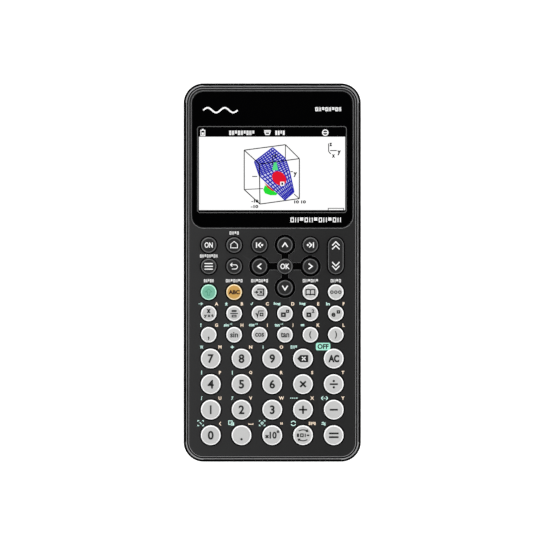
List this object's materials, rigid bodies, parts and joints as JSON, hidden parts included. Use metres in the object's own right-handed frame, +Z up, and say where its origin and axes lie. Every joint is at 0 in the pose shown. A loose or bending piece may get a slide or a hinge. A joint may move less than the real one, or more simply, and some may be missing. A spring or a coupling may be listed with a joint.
{
  "type": "graphing calculator",
  "caption": "Handheld graphing calculator with a colour display window, round push keys, a page rocker, an arrow key pad and a hooked battery cover.",
  "frame": {"origin": "middle of the case outline, on the desk plane under the rubber feet", "axes": "+X across to the right, +Y towards the display end, +Z up out of the key tops"},
  "size_m": [0.085, 0.1816, 0.0185],
  "materials": {
    "front_plastic": "fine moulded grain, near black at the rim",
    "rear_plastic": "fine moulded grain",
    "window": "polished, black printed border",
    "display_panel": "satin frame",
    "key_dark": "satin",
    "key_light": "satin",
    "key_mint": "satin",
    "key_amber": "satin",
    "silicone": "matte",
    "board": "solder mask",
    "cell_sleeve": "plain printed sleeve",
    "contact_metal": "nickel plated",
    "screw_steel": "zinc plated",
    "foot_rubber": "matte"
  },
  "bodies": {
    "case": {"front_case": "front_plastic", "rear_case": "rear_plastic", "display_window": "window", "display_module": "display_panel", "key_membrane": "silicone", "main_board": "board", "batteries": "cell_sleeve", "battery_contacts": "contact_metal", "case_screws": "screw_steel", "rubber_feet": "foot_rubber"},
    "battery_cover": {"battery_cover": "rear_plastic"},
    "page_rocker": {"page_rocker": "key_dark"},
    "key_on": {"key_on": "key_dark"},
    "key_home": {"key_home": "key_dark"},
    "key_line_start": {"key_line_start": "key_dark"},
    "key_up": {"key_up": "key_dark"},
    "key_line_end": {"key_line_end": "key_dark"},
    "key_menu": {"key_menu": "key_dark"},
    "key_back": {"key_back": "key_dark"},
    "key_left": {"key_left": "key_dark"},
    "key_ok": {"key_ok": "key_dark"},
    "key_right": {"key_right": "key_dark"},
    "key_shift": {"key_shift": "key_mint"},
    "key_alpha": {"key_alpha": "key_amber"},
    "key_variable": {"key_variable": "key_light"},
    "key_down": {"key_down": "key_dark"},
    "key_catalog": {"key_catalog": "key_light"},
    "key_tools": {"key_tools": "key_light"},
    "key_x": {"key_x": "key_light"},
    "key_fraction": {"key_fraction": "key_light"},
    "key_root": {"key_root": "key_light"},
    "key_power": {"key_power": "key_light"},
    "key_square": {"key_square": "key_light"},
    "key_exponential": {"key_exponential": "key_light"},
    "key_comma": {"key_comma": "key_light"},
    "key_sin": {"key_sin": "key_light"},
    "key_cos": {"key_cos": "key_light"},
    "key_tan": {"key_tan": "key_light"},
    "key_open_bracket": {"key_open_bracket": "key_light"},
    "key_close_bracket": {"key_close_bracket": "key_light"},
    "key_7": {"key_7": "key_light"},
    "key_8": {"key_8": "key_light"},
    "key_9": {"key_9": "key_light"},
    "key_delete": {"key_delete": "key_light"},
    "key_clear": {"key_clear": "key_light"},
    "key_4": {"key_4": "key_light"},
    "key_5": {"key_5": "key_light"},
    "key_6": {"key_6": "key_light"},
    "key_multiply": {"key_multiply": "key_light"},
    "key_divide": {"key_divide": "key_light"},
    "key_1": {"key_1": "key_light"},
    "key_2": {"key_2": "key_light"},
    "key_3": {"key_3": "key_light"},
    "key_plus": {"key_plus": "key_light"},
    "key_minus": {"key_minus": "key_light"},
    "key_0": {"key_0": "key_light"},
    "key_point": {"key_point": "key_light"},
    "key_times_ten": {"key_times_ten": "key_light"},
    "key_format": {"key_format": "key_light"},
    "key_enter": {"key_enter": "key_light"}
  },
  "joints": [
    {"name": "battery_cover_hinge", "type": "hinge", "parent": "case", "child": "battery_cover", "pos_m": [0, 0.078, 0.00145], "axis": [1, 0, 0], "range_deg": [0, 75]},
    {"name": "page_rocker_tilt", "type": "hinge", "parent": "case", "child": "page_rocker", "pos_m": [0.03043, 0.00805, 0.0141], "axis": [1, 0, 0], "range_deg": [-4.5, 4.5], "stiffness_Nm_per_rad": 0.04, "deforming": ["key_membrane"]},
    {"name": "key_on_press", "type": "slide", "parent": "case", "child": "key_on", "axis": [0, 0, -1], "range_m": [0, 0.0012], "stiffness_N_per_m": 600, "deforming": ["key_membrane"]},
    {"name": "key_home_press", "type": "slide", "parent": "case", "child": "key_home", "axis": [0, 0, -1], "range_m": [0, 0.0012], "stiffness_N_per_m": 600, "deforming": ["key_membrane"]},
    {"name": "key_line_start_press", "type": "slide", "parent": "case", "child": "key_line_start", "axis": [0, 0, -1], "range_m": [0, 0.0012], "stiffness_N_per_m": 600, "deforming": ["key_membrane"]},
    {"name": "key_up_press", "type": "slide", "parent": "case", "child": "key_up", "axis": [0, 0, -1], "range_m": [0, 0.0012], "stiffness_N_per_m": 600, "deforming": ["key_membrane"]},
    {"name": "key_line_end_press", "type": "slide", "parent": "case", "child": "key_line_end", "axis": [0, 0, -1], "range_m": [0, 0.0012], "stiffness_N_per_m": 600, "deforming": ["key_membrane"]},
    {"name": "key_menu_press", "type": "slide", "parent": "case", "child": "key_menu", "axis": [0, 0, -1], "range_m": [0, 0.0012], "stiffness_N_per_m": 600, "deforming": ["key_membrane"]},
    {"name": "key_back_press", "type": "slide", "parent": "case", "child": "key_back", "axis": [0, 0, -1], "range_m": [0, 0.0012], "stiffness_N_per_m": 600, "deforming": ["key_membrane"]},
    {"name": "key_left_press", "type": "slide", "parent": "case", "child": "key_left", "axis": [0, 0, -1], "range_m": [0, 0.0012], "stiffness_N_per_m": 600, "deforming": ["key_membrane"]},
    {"name": "key_ok_press", "type": "slide", "parent": "case", "child": "key_ok", "axis": [0, 0, -1], "range_m": [0, 0.0012], "stiffness_N_per_m": 600, "deforming": ["key_membrane"]},
    {"name": "key_right_press", "type": "slide", "parent": "case", "child": "key_right", "axis": [0, 0, -1], "range_m": [0, 0.0012], "stiffness_N_per_m": 600, "deforming": ["key_membrane"]},
    {"name": "key_shift_press", "type": "slide", "parent": "case", "child": "key_shift", "axis": [0, 0, -1], "range_m": [0, 0.0012], "stiffness_N_per_m": 600, "deforming": ["key_membrane"]},
    {"name": "key_alpha_press", "type": "slide", "parent": "case", "child": "key_alpha", "axis": [0, 0, -1], "range_m": [0, 0.0012], "stiffness_N_per_m": 600, "deforming": ["key_membrane"]},
    {"name": "key_variable_press", "type": "slide", "parent": "case", "child": "key_variable", "axis": [0, 0, -1], "range_m": [0, 0.0012], "stiffness_N_per_m": 600, "deforming": ["key_membrane"]},
    {"name": "key_down_press", "type": "slide", "parent": "case", "child": "key_down", "axis": [0, 0, -1], "range_m": [0, 0.0012], "stiffness_N_per_m": 600, "deforming": ["key_membrane"]},
    {"name": "key_catalog_press", "type": "slide", "parent": "case", "child": "key_catalog", "axis": [0, 0, -1], "range_m": [0, 0.0012], "stiffness_N_per_m": 600, "deforming": ["key_membrane"]},
    {"name": "key_tools_press", "type": "slide", "parent": "case", "child": "key_tools", "axis": [0, 0, -1], "range_m": [0, 0.0012], "stiffness_N_per_m": 600, "deforming": ["key_membrane"]},
    {"name": "key_x_press", "type": "slide", "parent": "case", "child": "key_x", "axis": [0, 0, -1], "range_m": [0, 0.0012], "stiffness_N_per_m": 600, "deforming": ["key_membrane"]},
    {"name": "key_fraction_press", "type": "slide", "parent": "case", "child": "key_fraction", "axis": [0, 0, -1], "range_m": [0, 0.0012], "stiffness_N_per_m": 600, "deforming": ["key_membrane"]},
    {"name": "key_root_press", "type": "slide", "parent": "case", "child": "key_root", "axis": [0, 0, -1], "range_m": [0, 0.0012], "stiffness_N_per_m": 600, "deforming": ["key_membrane"]},
    {"name": "key_power_press", "type": "slide", "parent": "case", "child": "key_power", "axis": [0, 0, -1], "range_m": [0, 0.0012], "stiffness_N_per_m": 600, "deforming": ["key_membrane"]},
    {"name": "key_square_press", "type": "slide", "parent": "case", "child": "key_square", "axis": [0, 0, -1], "range_m": [0, 0.0012], "stiffness_N_per_m": 600, "deforming": ["key_membrane"]},
    {"name": "key_exponential_press", "type": "slide", "parent": "case", "child": "key_exponential", "axis": [0, 0, -1], "range_m": [0, 0.0012], "stiffness_N_per_m": 600, "deforming": ["key_membrane"]},
    {"name": "key_comma_press", "type": "slide", "parent": "case", "child": "key_comma", "axis": [0, 0, -1], "range_m": [0, 0.0012], "stiffness_N_per_m": 600, "deforming": ["key_membrane"]},
    {"name": "key_sin_press", "type": "slide", "parent": "case", "child": "key_sin", "axis": [0, 0, -1], "range_m": [0, 0.0012], "stiffness_N_per_m": 600, "deforming": ["key_membrane"]},
    {"name": "key_cos_press", "type": "slide", "parent": "case", "child": "key_cos", "axis": [0, 0, -1], "range_m": [0, 0.0012], "stiffness_N_per_m": 600, "deforming": ["key_membrane"]},
    {"name": "key_tan_press", "type": "slide", "parent": "case", "child": "key_tan", "axis": [0, 0, -1], "range_m": [0, 0.0012], "stiffness_N_per_m": 600, "deforming": ["key_membrane"]},
    {"name": "key_open_bracket_press", "type": "slide", "parent": "case", "child": "key_open_bracket", "axis": [0, 0, -1], "range_m": [0, 0.0012], "stiffness_N_per_m": 600, "deforming": ["key_membrane"]},
    {"name": "key_close_bracket_press", "type": "slide", "parent": "case", "child": "key_close_bracket", "axis": [0, 0, -1], "range_m": [0, 0.0012], "stiffness_N_per_m": 600, "deforming": ["key_membrane"]},
    {"name": "key_7_press", "type": "slide", "parent": "case", "child": "key_7", "axis": [0, 0, -1], "range_m": [0, 0.0012], "stiffness_N_per_m": 600, "deforming": ["key_membrane"]},
    {"name": "key_8_press", "type": "slide", "parent": "case", "child": "key_8", "axis": [0, 0, -1], "range_m": [0, 0.0012], "stiffness_N_per_m": 600, "deforming": ["key_membrane"]},
    {"name": "key_9_press", "type": "slide", "parent": "case", "child": "key_9", "axis": [0, 0, -1], "range_m": [0, 0.0012], "stiffness_N_per_m": 600, "deforming": ["key_membrane"]},
    {"name": "key_delete_press", "type": "slide", "parent": "case", "child": "key_delete", "axis": [0, 0, -1], "range_m": [0, 0.0012], "stiffness_N_per_m": 600, "deforming": ["key_membrane"]},
    {"name": "key_clear_press", "type": "slide", "parent": "case", "child": "key_clear", "axis": [0, 0, -1], "range_m": [0, 0.0012], "stiffness_N_per_m": 600, "deforming": ["key_membrane"]},
    {"name": "key_4_press", "type": "slide", "parent": "case", "child": "key_4", "axis": [0, 0, -1], "range_m": [0, 0.0012], "stiffness_N_per_m": 600, "deforming": ["key_membrane"]},
    {"name": "key_5_press", "type": "slide", "parent": "case", "child": "key_5", "axis": [0, 0, -1], "range_m": [0, 0.0012], "stiffness_N_per_m": 600, "deforming": ["key_membrane"]},
    {"name": "key_6_press", "type": "slide", "parent": "case", "child": "key_6", "axis": [0, 0, -1], "range_m": [0, 0.0012], "stiffness_N_per_m": 600, "deforming": ["key_membrane"]},
    {"name": "key_multiply_press", "type": "slide", "parent": "case", "child": "key_multiply", "axis": [0, 0, -1], "range_m": [0, 0.0012], "stiffness_N_per_m": 600, "deforming": ["key_membrane"]},
    {"name": "key_divide_press", "type": "slide", "parent": "case", "child": "key_divide", "axis": [0, 0, -1], "range_m": [0, 0.0012], "stiffness_N_per_m": 600, "deforming": ["key_membrane"]},
    {"name": "key_1_press", "type": "slide", "parent": "case", "child": "key_1", "axis": [0, 0, -1], "range_m": [0, 0.0012], "stiffness_N_per_m": 600, "deforming": ["key_membrane"]},
    {"name": "key_2_press", "type": "slide", "parent": "case", "child": "key_2", "axis": [0, 0, -1], "range_m": [0, 0.0012], "stiffness_N_per_m": 600, "deforming": ["key_membrane"]},
    {"name": "key_3_press", "type": "slide", "parent": "case", "child": "key_3", "axis": [0, 0, -1], "range_m": [0, 0.0012], "stiffness_N_per_m": 600, "deforming": ["key_membrane"]},
    {"name": "key_plus_press", "type": "slide", "parent": "case", "child": "key_plus", "axis": [0, 0, -1], "range_m": [0, 0.0012], "stiffness_N_per_m": 600, "deforming": ["key_membrane"]},
    {"name": "key_minus_press", "type": "slide", "parent": "case", "child": "key_minus", "axis": [0, 0, -1], "range_m": [0, 0.0012], "stiffness_N_per_m": 600, "deforming": ["key_membrane"]},
    {"name": "key_0_press", "type": "slide", "parent": "case", "child": "key_0", "axis": [0, 0, -1], "range_m": [0, 0.0012], "stiffness_N_per_m": 600, "deforming": ["key_membrane"]},
    {"name": "key_point_press", "type": "slide", "parent": "case", "child": "key_point", "axis": [0, 0, -1], "range_m": [0, 0.0012], "stiffness_N_per_m": 600, "deforming": ["key_membrane"]},
    {"name": "key_times_ten_press", "type": "slide", "parent": "case", "child": "key_times_ten", "axis": [0, 0, -1], "range_m": [0, 0.0012], "stiffness_N_per_m": 600, "deforming": ["key_membrane"]},
    {"name": "key_format_press", "type": "slide", "parent": "case", "child": "key_format", "axis": [0, 0, -1], "range_m": [0, 0.0012], "stiffness_N_per_m": 600, "deforming": ["key_membrane"]},
    {"name": "key_enter_press", "type": "slide", "parent": "case", "child": "key_enter", "axis": [0, 0, -1], "range_m": [0, 0.0012], "stiffness_N_per_m": 600, "deforming": ["key_membrane"]}
  ]
}
